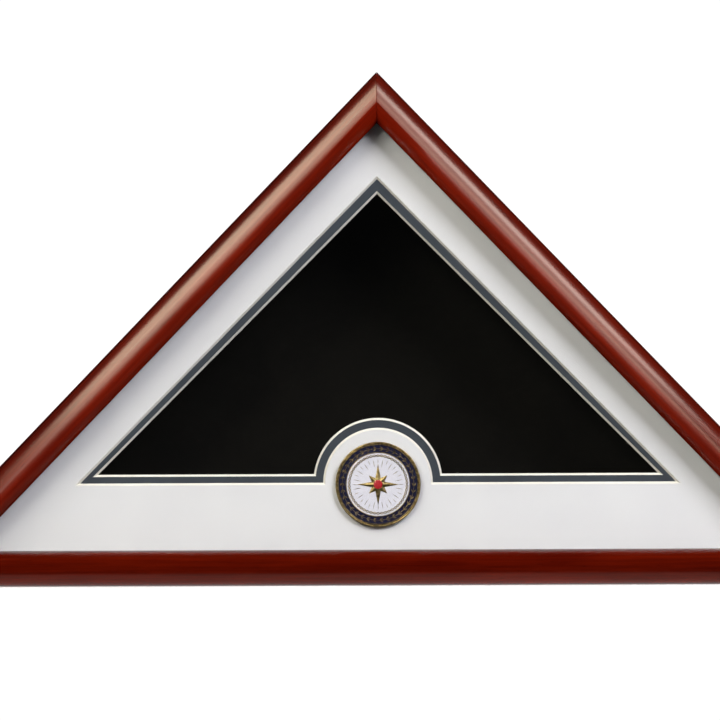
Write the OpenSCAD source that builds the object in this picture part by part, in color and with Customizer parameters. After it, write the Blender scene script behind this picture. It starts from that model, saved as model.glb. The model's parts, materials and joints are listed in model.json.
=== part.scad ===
// Folded flag display case: three mitred half-round rails, glass, a double mat with a medallion,
// a lined back panel held by turn buttons, and two ring hangers. Front faces -Y, base on Z = 0.

/* [Case] */
// Width across the two lower corners
case_w = 660; // [545:1:800]
// Height from the base to the peak
case_h = 343; // [285:1:420]
// Depth of the rails, front to back
case_d = 102; // [80:1:130]

/* [Rails] */
// Width of a rail's half-round face
rail_w = 23.4; // [21:0.1:29]
// Depth from the front of a rail to the seat behind its lip
lip_d = 15; // [15:0.5:20]
// Thickness of a rail's wall behind the lip
wall = 18; // [14:0.5:20]

/* [Corner nails] */
// Length of one leg of a V nail
nail_leg = 6; // [4:0.5:7]
// Thickness of a V nail's strip
nail_t = 0.8; // [0.5:0.1:1.2]
// How deep a V nail is driven into the rails
nail_depth = 10; // [6:1:20]
// Place of the outer V nail at a lower corner, along the mitre
low_nail_at = 20; // [15:1:24]
// Place of the outer V nail at the peak, along the mitre
peak_nail_at = 8; // [6:1:10]
// Distance between the two V nails at a lower corner
low_nail_pitch = 12; // [9:1:13]
// Distance between the two V nails at the peak
peak_nail_pitch = 8; // [7:1:9]

/* [Glass and spacers] */
// Thickness of the glass
glass_t = 2; // [1.5:0.1:3]
// Clearance round the glass and the mats
sheet_gap = 0.3; // [0.1:0.1:1]
// Depth of the spacers between the glass and the mats
spacer_d = 5; // [4.2:0.1:8]
// How far the spacers stand back from the lip's inner edge
spacer_setback = 0.3; // [0.1:0.1:1]

/* [Mats] */
// Thickness of one mat board
mat_t = 1.4; // [1:0.1:2]
// Height of the white mat's window above the base of the case
window_base = 68.1; // [60:0.1:90]
// White mat's window to the outer side face, at the window's lower corners
window_low = 46.3; // [40:0.1:60]
// White mat's window to the outer side face, at the window's peak
window_high = 49.2; // [42:0.1:65]
// Navy mat showing along the base of the window
band_base = 5.8; // [3:0.1:9]
// Navy mat showing at the sides, at the lower corners
band_low = 4.6; // [3:0.1:8]
// Navy mat showing at the sides, at the window's peak
band_high = 6.8; // [3:0.1:9]
// White mat showing round the medallion, from its edge to the tongue's edge
tongue_margin = 8.3; // [5:0.1:14]
// Navy mat showing round the tongue
tongue_band = 6.6; // [4:0.1:10]

/* [Medallion] */
// Diameter of the medallion
medallion_dia = 57.15; // [45:0.05:70]
// Thickness of the medallion's body
medallion_t = 2.8; // [2:0.1:3.4]
// Thickness of the adhesive pad behind it
pad_t = 0.7; // [0.5:0.1:0.8]
// How far the pad's edge stands in from the medallion's edge
pad_inset = 3; // [1:0.5:8]
// Centre of the medallion below the base line of the window
medallion_drop = 1.1; // [0:0.1:4]
// Width of the medallion's outer rim
rim_w = 2.1; // [1:0.1:4]
// Width of the navy enamel ring
enamel_ring_w = 4.9; // [3:0.1:7]
// Width of the metal fence between the navy ring and the white field
fence_w = 0.5; // [0.3:0.1:1]
// Depth of the recesses that hold the enamel
recess_d = 0.8; // [0.5:0.1:1.2]
// Thickness of the enamel
enamel_t = 0.5; // [0.3:0.1:0.5]
// Radius of the star's long points
star_r = 14; // [8:0.5:17]
// Thickness of the star
star_t = 0.6; // [0.4:0.1:0.6]
// Radius of the red enamel at the star's centre
red_r = 3; // [2:0.1:4]
// Thickness of the red enamel
red_t = 0.2; // [0.1:0.1:0.3]

/* [Liners and back panel] */
// Thickness of the black liner strips
liner_t = 5; // [3:0.5:8]
// Thickness of the back panel
panel_t = 3; // [2:0.5:6]
// Clearance round the edge of the back panel
panel_gap = 0.5; // [0.3:0.1:1.5]
// Thickness of the velour lining
velour_t = 0.8; // [0.5:0.1:1.5]
// Clearance between the velour and the liners
velour_gap = 0.5; // [0.3:0.1:2]

/* [Turn buttons] */
// Thickness of a turn button
button_t = 1.2; // [0.8:0.1:2]
// Radius of the end round the screw
button_r = 4.5; // [4:0.1:4.9]
// Radius of the tip
tip_r = 3; // [2:0.1:3.5]
// From the pivot to the end of the tip
button_reach = 12.5; // [10:0.5:12.9]
// From the outer face of a rail to the pivot
pivot_w = 13; // [12.9:0.1:13.1]
// Gap under and over a turn button
button_gap = 0.1; // [0.05:0.05:0.3]
// Middle turn button of the base rail to its neighbours
base_button_pitch = 170; // [120:5:220]
// Lower turn button of a side rail, from the lower corner
low_button_at = 130; // [90:5:150]
// Upper turn button of a side rail, from the peak
high_button_at = 200; // [180:5:215]

/* [Screws] */
// Radius of a turn button's screw
screw_r = 1.5; // [1:0.1:2]
// Running clearance of a turn button on its screw
screw_clear = 0.05; // [0.02:0.01:0.1]
// Radius of a screw's pan head
head_r = 3; // [2.5:0.1:3.8]
// Height of a screw's pan head
head_t = 1.8; // [1.2:0.1:2]
// Length of a screw in the wood
screw_len = 12; // [8:1:20]

/* [Ring hangers] */
// Width of a hanger's strap
strap_w = 9; // [7:0.5:10]
// Length of a strap from the ring's pivot to its rounded end
strap_len = 25; // [24:1:35]
// Thickness of a strap
strap_t = 1.2; // [0.8:0.1:1.5]
// From the ring's pivot to the strap's screw
strap_screw_at = 18; // [17:0.5:19]
// Outer radius of the loop that holds the ring
loop_r = 1.8; // [1.7:0.1:2.2]
// Lift of the loop off the rail
loop_lift = 0.1; // [0.05:0.05:0.3]
// Radius of the ring's wire
wire_r = 0.9; // [0.8:0.05:1]
// Running clearance of the ring's wire in the loop
wire_clear = 0.05; // [0.02:0.01:0.1]
// Inner width of the ring
ring_in_w = 12.4; // [12:0.1:14]
// Bend radius at the ring's two square corners
ring_bend = 1.5; // [1.1:0.1:1.7]
// Length of the ring's straight sides
ring_side = 2.9; // [2:0.1:4]
// Angle that the ring rests at, above the strap
ring_rest = 5; // [4:0.5:8]
// Pivot of a hanger, from the peak along the side rail
hanger_at = 110; // [70:5:140]

/* [Hidden] */
$fn = 96;

past = 1;                                   // cutters run this far past the faces they cut
pitch = atan2(case_h, case_w / 2);          // slope of the side rails
side_len = norm([case_w / 2, case_h]);
lengths = [case_w, side_len, side_len];

// Triangle inset by w from the outer faces: right, left, peak, as [x, z]
function inset(w) = [
    [case_w / 2 - w / tan(pitch / 2), w],
    [w / tan(pitch / 2) - case_w / 2, w],
    [0, case_h - w / cos(pitch)]];
centre = [0, case_w / 2 * tan(pitch / 2)];

// Stack of the sheets, as depths from the front
glass_d = lip_d;
spacer_front = glass_d + glass_t;
white_d = spacer_front + spacer_d;
navy_d = white_d + mat_t;
liner_front = navy_d + mat_t;
panel_d = case_d - panel_t;
spacer_in = rail_w - spacer_setback;
liner_in = wall + liner_t;

// Places on the rear of the rails
button_z = case_d + button_gap;
head_z = button_z + button_t + button_gap;
loop_z = case_d + loop_r + loop_lift;
ring_half = ring_in_w / 2 + wire_r;
ring_reach = ring_side + ring_half;
rear_reach = max(head_z + head_t,
    loop_z + ring_reach * sin(ring_rest) + wire_r, case_d + strap_t + head_t);
front = -rear_reach / 2;                    // Y of the front plane: the depth is centred on Y = 0

// Turn buttons: side, distance from that side's start, turn of the tip
buttons = [
    [0, case_w / 2 - base_button_pitch, 0],
    [0, case_w / 2, 0],
    [0, case_w / 2 + base_button_pitch, 0],
    [1, low_button_at, 0],
    [1, side_len - high_button_at, 0],
    [2, high_button_at, 180],
    [2, side_len - low_button_at, 180]];

medallion_r = medallion_dia / 2;
medallion_z = window_base - medallion_drop;
medallion_front = white_d - pad_t - medallion_t;
enamel_out = medallion_r - rim_w;
fence_out = enamel_out - enamel_ring_w;
field_r = fence_out - fence_w;
enamel_d = medallion_front + recess_d - enamel_t;
tongue_r = medallion_r + tongue_margin;

// Draws a flat shape, given as [x, z], from depth d0 to depth d1
module slab(points, d0, d1)
    translate([0, front + d1, 0])
        rotate([90, 0, 0])
            linear_extrude(d1 - d0)
                polygon(points);

// Local x runs from p to q, y points into the case and z to the rear
module along(p, q)
    translate([p[0], front, p[1]])
        rotate([0, -atan2(q[1] - p[1], q[0] - p[0]), 0])
            rotate([-90, 0, 0])
                children();

// Sides in order: 0 base from right to left, 1 left from base to peak, 2 right from peak to base
module on_side(i)
    along(inset(0)[i], inset(0)[(i + 1) % 3])
        children();

// Extrudes a profile, drawn as [y, z], along local x
module run(from, length)
    translate([from, 0, 0])
        rotate([90, 0, 90])
            linear_extrude(length)
                children();

// Strip along one side with mitred ends, from inset w0 to w1 and depth d0 to d1
module strip(i, w0, w1, d0, d1) {
    j = (i + 1) % 3;
    slab([inset(w0)[i], inset(w0)[j], inset(w1)[j], inset(w1)[i]], d0, d1);
}

// Half-round nose, the lip behind it and the wall, drawn as [y, z]
module rail_profile() {
    nose = rail_w / 2;
    intersection() {
        translate([nose, nose])
            circle(nose);
        square([rail_w, nose]);
    }
    polygon([[0, nose], [rail_w, nose], [rail_w, lip_d], [wall, lip_d], [wall, case_d], [0, case_d]]);
}

// Length of timber between its two mitres, cut for the V nails and drilled for the screws
module rail(i)
    color("#6a1a10")
    difference() {
        intersection() {
            on_side(i) run(0, lengths[i]) rail_profile();
            slab([inset(0)[i], inset(0)[(i + 1) % 3], centre], -past, case_d + past);
        }
        v_nails();
        button_shanks(i);
        if (i > 0) on_hanger(i) hanger_shank();
    }

// V nail in plan: point on the mitre, legs spreading into the two rails
module v_nail(corner, at) {
    c = cos(45);
    legs = [[0, 0], [nail_leg * c, nail_leg * c], [(nail_leg + nail_t) * c, (nail_leg - nail_t) * c],
        [nail_t / c, 0], [(nail_leg + nail_t) * c, (nail_t - nail_leg) * c], [nail_leg * c, -nail_leg * c]];
    along(inset(0)[corner], centre)
        translate([at, 0, case_d - nail_depth])
            linear_extrude(nail_depth)
                polygon(legs);
}

module v_nails()
    color("#b9bcc0") {
        for (corner = [0, 1], step = [0, 1])
            v_nail(corner, low_nail_at + step * low_nail_pitch);
        for (step = [0, 1])
            v_nail(2, peak_nail_at + step * peak_nail_pitch);
    }

module glass()
    color("#dfe9ea", 0.25)
        slab(inset(wall + sheet_gap), glass_d, glass_d + glass_t);

module spacer(i)
    color("#1b1b1c")
        strip(i, wall, spacer_in, spacer_front, white_d);

// Window corners at the mat's rear face: base height, and borders at the lower corners and the peak
function window(base, low, high) =
    let (reach = norm([2 / case_w, 1 / case_h]), half = case_w / 2 * (1 - base / case_h - low * reach))
    [[half, base], [-half, base], [0, case_h * (1 - high * reach)]];

// Everything inside one bevelled window line, wider at the front of the mat
module inside_line(p, q, d0)
    along(p, q)
        run(-case_w, 3 * case_w)
            polygon([[past, d0 + mat_t + past], [-mat_t - past, d0 - past],
                [case_h, d0 - past], [case_h, d0 + mat_t + past]]);

// Mat board with a bevelled window and a round tongue that rises from the window's base
module mat(d0, corners, round_r)
    difference() {
        slab(inset(wall + sheet_gap), d0, d0 + mat_t);
        difference() {
            intersection() {
                inside_line(corners[0], corners[1], d0);
                inside_line(corners[1], corners[2], d0);
                inside_line(corners[2], corners[0], d0);
            }
            translate([0, front + d0 + mat_t + past, window_base])
                rotate([90, 0, 0])
                    cylinder(r1 = round_r + past, r2 = round_r - mat_t - past, h = mat_t + 2 * past);
        }
    }

module white_mat()
    color("#e4e4e3")
        mat(white_d, window(window_base, window_low, window_high), tongue_r);

module navy_mat()
    color("#363d45")
        mat(navy_d, window(window_base + band_base, window_low + band_low, window_high + band_high),
            tongue_r + tongue_band);

// Round piece on the medallion's axis, from depth d0 to depth d1
module disc(r, d0, d1)
    translate([0, front + d1, medallion_z])
        rotate([90, 0, 0])
            cylinder(r = r, h = d1 - d0);

module medallion_body()
    color("#8f7741")
    difference() {
        disc(medallion_r, medallion_front, white_d - pad_t);
        difference() {
            disc(enamel_out, medallion_front - past, medallion_front + recess_d);
            disc(fence_out, medallion_front - 2 * past, medallion_front + recess_d + past);
        }
        disc(field_r, medallion_front - past, medallion_front + recess_d);
    }

module medallion_navy_enamel()
    color("#14183c")
    difference() {
        disc(enamel_out, enamel_d, enamel_d + enamel_t);
        disc(fence_out, enamel_d - past, enamel_d + enamel_t + past);
    }

module medallion_white_enamel()
    color("#eceaf2")
        disc(field_r, enamel_d, enamel_d + enamel_t);

// Eight points, long and short in turn, with the hollows between them close to the centre
module medallion_star() {
    reach = [star_r, star_r / 3, star_r * 0.62, star_r / 3];
    color("#a58a4c")
        slab([for (i = [0:15]) [0, medallion_z] + reach[i % 4] * [sin(i * 22.5), cos(i * 22.5)]],
            enamel_d - star_t, enamel_d);
}

module medallion_red_enamel()
    color("#b3242c")
        disc(red_r, enamel_d - star_t - red_t, enamel_d - star_t);

module medallion_adhesive_pad()
    color("#f1f0ec")
        disc(medallion_r - pad_inset, white_d - pad_t, white_d);

module liner(i)
    color("#151516")
        strip(i, wall, liner_in, liner_front, panel_d);

module back_panel()
    color("#7a5536")
        slab(inset(wall + panel_gap), panel_d, case_d);

module velour_lining()
    color("#0c0c0d")
        slab(inset(liner_in + velour_gap), panel_d - velour_t, panel_d);

module on_button(n)
    on_side(buttons[n][0])
        translate([buttons[n][1], pivot_w, 0])
            rotate(buttons[n][2])
                children();

module turn_button(n)
    color("#b08a3e")
        on_button(n)
            difference() {
                translate([0, 0, button_z])
                    linear_extrude(button_t)
                        hull() {
                            circle(button_r, $fn = 48);
                            translate([button_reach - tip_r, 0])
                                circle(tip_r, $fn = 48);
                        }
                translate([0, 0, button_z - past])
                    cylinder(r = screw_r + screw_clear, h = button_t + 2 * past);
            }

// Pan-head screw on local z: shank in the wood, head resting at seat, cross recess in the head
module screw(seat) {
    slot = head_r / 4;
    translate([0, 0, case_d - screw_len])
        cylinder(r = screw_r, h = seat - case_d + screw_len);
    difference() {
        translate([0, 0, seat])
            cylinder(r1 = head_r, r2 = head_r * 0.85, h = head_t);
        for (turn = [0, 90])
            translate([0, 0, seat + head_t])
                rotate(turn)
                    cube([head_r, slot, head_t], center = true);
    }
}

module button_shanks(i)
    for (n = [0:len(buttons) - 1])
        if (buttons[n][0] == i)
            on_button(n)
                translate([0, 0, case_d - screw_len])
                    cylinder(r = screw_r, h = screw_len + past);

module turn_button_screws()
    color("#c9a352")
        for (n = [0:len(buttons) - 1])
            on_button(n) screw(head_z);

// Hanger frame: origin under the ring's pivot, local x along the rail towards the peak
module on_hanger(i)
    mirror([i == 2 ? 1 : 0, 0, 0])
        on_side(1)
            translate([side_len - hanger_at, wall / 2, 0])
                children();

module hanger_shank()
    translate([-strap_screw_at, 0, case_d - screw_len])
        cylinder(r = screw_r, h = screw_len + past);

// Strap lies down the rail from the loop, with a rounded end and one screw hole
module hanger_strap(i)
    color("#c4c7ca")
        on_hanger(i)
            difference() {
                union() {
                    translate([0, 0, case_d])
                        linear_extrude(strap_t)
                            hull() {
                                translate([-1, -strap_w / 2])
                                    square([1, strap_w]);
                                translate([strap_w / 2 - strap_len, 0])
                                    circle(strap_w / 2, $fn = 48);
                            }
                    translate([0, strap_w / 2, loop_z])
                        rotate([90, 0, 0])
                            cylinder(r = loop_r, h = strap_w);
                }
                translate([0, strap_w / 2 + past, loop_z])
                    rotate([90, 0, 0])
                        cylinder(r = wire_r + wire_clear, h = strap_w + 2 * past);
                translate([-strap_screw_at, 0, case_d - past])
                    cylinder(r = screw_r, h = strap_t + 2 * past);
            }

// Straight length of the ring's wire, from a point along a direction in the ring's plane
module wire(x, y, turn, length)
    translate([x, y, 0])
        rotate([0, 90, turn])
            cylinder(r = wire_r, h = length);

// Curved length of the ring's wire about a centre in the ring's plane
module bend(x, y, radius, from, sweep)
    translate([x, y, 0])
        rotate(from)
            rotate_extrude(angle = sweep)
                translate([radius, 0])
                    circle(wire_r);

// D ring: bar through the loop, two short sides and a half round, resting just above the strap
module hanger_ring(i)
    color("#c4c7ca")
        on_hanger(i)
            translate([0, 0, loop_z])
                rotate([0, ring_rest, 0]) {
                    straight = ring_half - ring_bend;
                    wire(0, -straight, 90, 2 * straight);
                    bend(-ring_bend, straight, ring_bend, 0, 90);
                    bend(-ring_bend, -straight, ring_bend, -90, 90);
                    wire(-ring_side, ring_half, 0, ring_side - ring_bend);
                    wire(-ring_side, -ring_half, 0, ring_side - ring_bend);
                    bend(-ring_side, 0, ring_half, 90, 180);
                }

module hanger_screws()
    color("#c4c7ca")
        for (i = [1, 2])
            on_hanger(i)
                translate([-strap_screw_at, 0, 0])
                    screw(case_d + strap_t);

rail(0);  // rail_bottom
rail(1);  // rail_left
rail(2);  // rail_right
v_nails();  // corner_v_nails
glass();
spacer(0);  // spacer_bottom
spacer(1);  // spacer_left
spacer(2);  // spacer_right
white_mat();
navy_mat();
medallion_body();
medallion_navy_enamel();
medallion_white_enamel();
medallion_star();
medallion_red_enamel();
medallion_adhesive_pad();
liner(0);  // liner_bottom
liner(1);  // liner_left
liner(2);  // liner_right
back_panel();
velour_lining();
for (n = [1:7])
    turn_button(n - 1);
turn_button_screws();
hanger_strap(1);  // hanger_strap_left
hanger_strap(2);  // hanger_strap_right
hanger_ring(1);  // hanger_ring_left
hanger_ring(2);  // hanger_ring_right
hanger_screws();
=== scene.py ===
# %% [markdown]
# # A display case for a folded flag
# Three lengths of half-round moulding make a triangular box. Behind their lip lie glass, a white mat and a
# navy mat with a medallion on it, then a deep black space and a lined back panel held by turn buttons. The
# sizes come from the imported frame: from its boxes, its joints and its solids.

# %% Load the frame
import json
import math

import bmesh
import bpy
import numpy as np
from mathutils import Matrix, Vector


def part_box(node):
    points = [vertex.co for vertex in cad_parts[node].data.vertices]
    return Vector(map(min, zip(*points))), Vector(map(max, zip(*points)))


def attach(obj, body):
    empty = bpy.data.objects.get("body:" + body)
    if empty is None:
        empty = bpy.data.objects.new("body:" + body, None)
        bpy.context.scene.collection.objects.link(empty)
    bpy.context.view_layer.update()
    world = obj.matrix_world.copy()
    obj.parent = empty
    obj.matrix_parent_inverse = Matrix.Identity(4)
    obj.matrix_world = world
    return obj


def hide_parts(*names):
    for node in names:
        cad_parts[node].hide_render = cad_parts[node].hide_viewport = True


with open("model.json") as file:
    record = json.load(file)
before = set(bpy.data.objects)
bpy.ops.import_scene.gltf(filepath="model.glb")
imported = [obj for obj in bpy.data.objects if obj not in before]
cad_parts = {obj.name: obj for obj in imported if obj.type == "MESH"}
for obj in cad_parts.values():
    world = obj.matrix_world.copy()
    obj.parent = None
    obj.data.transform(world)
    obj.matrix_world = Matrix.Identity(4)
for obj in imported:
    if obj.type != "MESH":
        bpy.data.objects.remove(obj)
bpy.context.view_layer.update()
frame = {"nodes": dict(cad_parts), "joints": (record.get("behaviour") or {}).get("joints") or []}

# %% [markdown]
# ## Reading sizes from the frame
# X runs to the right, Y to the rear and Z up. A node's box gives its lowest and highest corner, and their
# differences are widths and thicknesses. Depths are counted from the front plane.

# %% Sizes
X, Y, Z = 0, 1, 2
MM = 0.001


def across(node, axis):
    """Lowest and highest value of a node along one axis, in metres."""
    low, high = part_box(node)
    return low[axis], high[axis]


def depths(node):
    """Depths of a node's front and rear faces behind the front plane."""
    near, far = across(node, Y)
    return near - front, far - front


front, rear = across("rail_bottom", Y)
back = rear - front
half_base = across("rail_bottom", X)[1]
peak = across("rail_left", Z)[1]
face_w = across("rail_bottom", Z)[1]
wall = across("spacer_bottom", Z)[0]
lip = depths("glass")[0]
pitch = math.atan2(peak, half_base)
print(f"side rails slope at {math.degrees(pitch):.2f} degrees; their face is {face_w / MM:.1f} mm wide")

# %% [markdown]
# ## The camera
# A long lens two metres away, level and almost square to the glass. The case's lower corners fall just
# outside the picture, and the sides of the rails stay hidden behind their rounded faces.

# %% Camera
CAMERA_AWAY = 2.0
CAMERA_ROLL = math.radians(0.22)
camera_data = bpy.data.cameras.new("camera")
camera_data.lens = 150.52
camera_data.sensor_width = 36.0
camera_data.clip_start = 0.05
camera = bpy.data.objects.new("camera", camera_data)
bpy.context.scene.collection.objects.link(camera)
camera.location = (-0.0118, front - CAMERA_AWAY, 0.1505)
camera.rotation_euler = (math.radians(90), CAMERA_ROLL, 0)
bpy.context.scene.camera = camera
bpy.context.scene.view_settings.view_transform = "Standard"

# %% [markdown]
# ## From grids of points to meshes
# A shape is a grid of points: rows along a path, columns round a section. A shell keeps its points, the
# corners of its faces one after another, and each face's number of corners, so numpy joins whole shapes.

# %% Shells


def grid(points, close_rows=False, close_cols=False, caps=False):
    """Joins each grid point with its neighbours in the next row and column. Caps close the end rows."""
    points = np.asarray(points, float)
    rows, cols = points.shape[:2]
    r, c = np.meshgrid(np.arange(rows - (not close_rows)), np.arange(cols - (not close_cols)), indexing="ij")
    below, beside = (r + 1) % rows, (c + 1) % cols
    quads = np.stack([r * cols + c, r * cols + beside, below * cols + beside, below * cols + c], -1)
    corners, sizes = quads.ravel(), np.full(quads.size // 4, 4)
    if caps:
        ends = [np.arange(cols), np.arange(rows * cols - 1, (rows - 1) * cols - 1, -1)]
        corners, sizes = np.concatenate([corners, *ends]), np.append(sizes, [cols, cols])
    return points.reshape(-1, 3), corners, sizes


def rod(points):
    """A grid closed round its section and capped at both ends."""
    return grid(points, close_cols=True, caps=True)


def hoop(points):
    """A grid closed both round its section and along its path."""
    return grid(points, close_rows=True, close_cols=True)


def together(*shells):
    """One shell from several, with each one's corners moved on by the number of points before it."""
    points, corners, sizes = zip(*shells)
    starts = np.cumsum([0] + [len(group) for group in points])
    moved = [group + start for group, start in zip(corners, starts)]
    return np.concatenate(points), np.concatenate(moved), np.concatenate(sizes)


def domed(rings, first, last):
    """Closed shell of rings between two poles, with a fan of triangles at each pole."""
    points, corners, sizes = grid(rings, close_cols=True)
    turn, count = rings.shape[1], len(points)
    here = np.arange(turn)
    after = (here + 1) % turn
    last_row = count - turn
    fan_first = np.stack([np.full(turn, count), here, after], -1)
    fan_last = np.stack([np.full(turn, count + 1), last_row + after, last_row + here], -1)
    corners = np.concatenate([corners, fan_first.ravel(), fan_last.ravel()])
    return np.concatenate([points, [first, last]]), corners, np.append(sizes, np.full(2 * turn, 3))


# %% [markdown]
# ## Placing points
# Most shapes are drawn flat, in the plane of the glass, and then given a depth. A flat point is (x, z).

# %% Placing


def full_turn(count, start=0.0):
    """Angles of equal steps round a full turn."""
    return np.linspace(start, start + 2 * math.pi, count, endpoint=False)


def plan(origin, along, beside, u, w):
    """Flat points at distances u along one direction and w along another from an origin."""
    return np.asarray(origin) + u[..., None] * along + w[..., None] * beside


def upright(flat, y):
    """World points of flat points (x, z) at the given y."""
    return np.stack(np.broadcast_arrays(flat[..., 0], y, flat[..., 1]), -1)


# %% [markdown]
# ## From shells to pieces
# A piece needs its faces turned outwards, soft shading that stops at real corners, a material, and the body
# that it moves with. It also says which plain solid of the frame it stands for.

# %% Pieces


def make_piece(name, shell, material, stands_for=None, body="case", sharp=32):
    """Makes a mesh from a shell, turns it outwards, and marks edges sharper than an angle in degrees."""
    points, corners, sizes = shell
    mesh = bpy.data.meshes.new(name)
    mesh.vertices.add(len(points))
    mesh.vertices.foreach_set("co", points.ravel())
    mesh.loops.add(len(corners))
    mesh.loops.foreach_set("vertex_index", corners.astype(np.int32))
    mesh.polygons.add(len(sizes))
    starts = np.cumsum(sizes) - sizes
    mesh.polygons.foreach_set("loop_start", starts.astype(np.int32))
    mesh.update(calc_edges=True)
    work = bmesh.new()
    work.from_mesh(mesh)
    bmesh.ops.recalc_face_normals(work, faces=work.faces)
    work.to_mesh(mesh)
    work.free()
    mesh.shade_smooth()
    mesh.set_sharp_from_angle(angle=math.radians(sharp))
    mesh.materials.append(material)
    piece = bpy.data.objects.new(name, mesh)
    bpy.context.scene.collection.objects.link(piece)
    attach(piece, body)
    if stands_for:
        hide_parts(stands_for)
    print(f"{name}: {len(points)} points, {len(sizes)} faces")
    return piece


# %% [markdown]
# ## The triangle and its sides
# The whole case follows one triangle, set in from the outer faces. Each side has its own axes: u along the
# rail, w inwards across its face, d from front to back. A mitre halves the corner, so a line at w starts
# w / tan(half the corner's angle) further along.

# %% Triangle


def inset(w, half=half_base, base=0.0, top=peak):
    """Corners (x, z) of a triangle with its sides moved in by w: right, left, peak."""
    slope = math.atan2(top - base, half)
    corner = half - w / math.tan(slope / 2)
    return np.array([[corner, base + w], [-corner, base + w], [0.0, top - w / math.cos(slope)]])


class Side:
    """One side of the triangle, run so that along, inwards and rearwards make a right-handed set."""

    def __init__(self, number):
        following = (number + 1) % 3
        half_angles = (pitch / 2, pitch / 2, math.pi / 2 - pitch)
        self.start, end = inset(0)[number], inset(0)[following]
        self.length = float(np.linalg.norm(end - self.start))
        self.along = (end - self.start) / self.length
        self.inward = np.array([self.along[1], -self.along[0]])
        self.mitres = 1 / math.tan(half_angles[number]), 1 / math.tan(half_angles[following])

    def place(self, local):
        """World points of points given as (along, inwards, back from the front plane)."""
        u, w, d = np.moveaxis(local, -1, 0)
        return upright(plan(self.start, self.along, self.inward, u, w), front + d)


SIDES = {"bottom": Side(0), "left": Side(1), "right": Side(2)}
print("side lengths, mm:", {name: round(side.length / MM, 1) for name, side in SIDES.items()})

# %% [markdown]
# ## Nodes and colours
# Colours are written as sRGB hex and turned to linear light once. One function adds a node: it takes the
# node's settings, then its inputs by name, where an input is a number, a colour or another node.

# %% Node helper


def linear(colour):
    """Linear (r, g, b, 1) of an sRGB hex colour: s / 12.92 in the dark, else ((s + 0.055) / 1.055) ** 2.4."""
    s = np.array([int(colour[i:i + 2], 16) / 255 for i in (1, 3, 5)])
    return (*np.where(s <= 0.04045, s / 12.92, ((s + 0.055) / 1.055) ** 2.4).tolist(), 1.0)


def feed(node, inputs):
    """Fills inputs, by name or by place: each is linked to a node or socket, or set to a number or colour."""
    for name, value in inputs.items():
        named = [socket for socket in node.inputs if socket.enabled and socket.name == name]
        socket = named[0] if named else node.inputs[name]
        if isinstance(value, bpy.types.Node):
            value = next(output for output in value.outputs if output.enabled)
        if isinstance(value, bpy.types.NodeSocket):
            node.id_data.links.new(value, socket)
        else:
            socket.default_value = linear(value) if isinstance(value, str) else value


def add(tree, kind, inputs=None, **settings):
    """Adds a shader node of a kind, gives it its settings and fills its inputs."""
    node = tree.nodes.new("ShaderNode" + kind)
    for name, value in settings.items():
        setattr(node, name, value)
    feed(node, inputs or {})
    return node


def start_material(name, inputs, shader="BsdfPrincipled"):
    """A material with one shader, whose constants are set on its own sockets."""
    material = bpy.data.materials.new(name)
    material.use_nodes = True
    tree = material.node_tree
    tree.nodes.clear()
    last = add(tree, shader, inputs)
    add(tree, "OutputMaterial", {"Surface": last})
    return material, tree, last


# %% [markdown]
# ## Two close tones
# Paper, metal, enamel and cloth have two close tones in patches, and a fine relief that breaks the light. A
# noise is written (size in mm, detail, distortion) and reads object coordinates.

# %% Two-toned surface


def mottled(name, inputs, tones, patch, fine, span=(0, 1), speckle=0.0, rough=None, relief=(0.3, 0.08)):
    """Goes from the first tone to the second where patch + speckle * fine crosses the span. Roughness, if
    given, goes with the patches, and relief is (strength, height in mm) of the fine noise."""
    material, tree, shader = start_material(name, inputs)
    place = add(tree, "TexCoord").outputs["Object"]
    noises = [{"Vector": place, "Scale": 1 / (size * MM), "Detail": detail, "Distortion": distortion}
              for size, detail, distortion in (patch, fine)]
    patches, grains = (add(tree, "TexNoise", noise) for noise in noises)
    both = add(tree, "Math", {0: grains, 1: speckle, 2: patches}, operation="MULTIPLY_ADD")
    share = add(tree, "MapRange", {"Value": both, "From Min": span[0], "From Max": span[1]})
    tone = add(tree, "Mix", {"Factor": share, "A": tones[0], "B": tones[1]}, data_type="RGBA")
    bump = add(tree, "Bump", {"Height": grains, "Strength": relief[0], "Distance": relief[1] * MM})
    feed(shader, {"Base Color": tone, "Normal": bump})
    if rough:
        gloss = add(tree, "MapRange", {"Value": patches, "To Min": rough[0], "To Max": rough[1]})
        feed(shader, {"Roughness": gloss})
    return material


# %% [markdown]
# ## Mahogany-stained moulding
# The rails are a plain hardwood, stained a dark red-brown and sprayed with satin lacquer. The stain hides
# most of the figure: soft streaks about 1.5 mm wide and 60 mm long run along each rail over broader, slow
# changes, with short dark pores. The pattern reads each rail's own (u, w, d), so the grain turns with the
# rail at every mitre. Pores are 0.2 mm wide on real wood; 0.5 mm is the finest that shows here. Two values
# painted on the rails steer the finish: painted shade, which darkens the stain across each rail's face to
# stand in for shade, and where the wood is bare of lacquer. Both are 0 where a mesh doesn't have them.

# %% Wood material


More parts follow.
